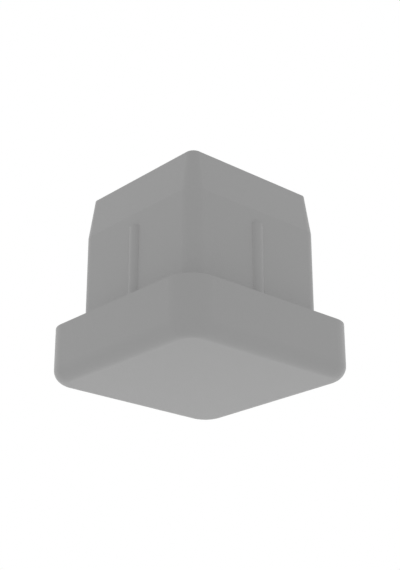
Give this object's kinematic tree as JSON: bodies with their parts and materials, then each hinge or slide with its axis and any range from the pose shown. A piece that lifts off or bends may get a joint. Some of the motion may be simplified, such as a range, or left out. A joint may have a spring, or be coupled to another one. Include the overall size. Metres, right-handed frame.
{
  "type": "profile end cap",
  "caption": "Square end cap with a thick, rounded head and a hollow plug with a tapered nose and crush ribs, pushed into the open end of a square tube.",
  "frame": {"origin": "centre of the head's flat outer face, which the cap stands on", "axes": "+Z from the outer face up the plug, along the tube's axis; X and Y square to the head's flat sides"},
  "size_m": [0.031, 0.031, 0.028],
  "materials": {
    "moulded_plastic": "mid-grey through-coloured moulding, fine matte texture"
  },
  "bodies": {
    "root": {"end_cap": "moulded_plastic"}
  },
  "joints": []
}
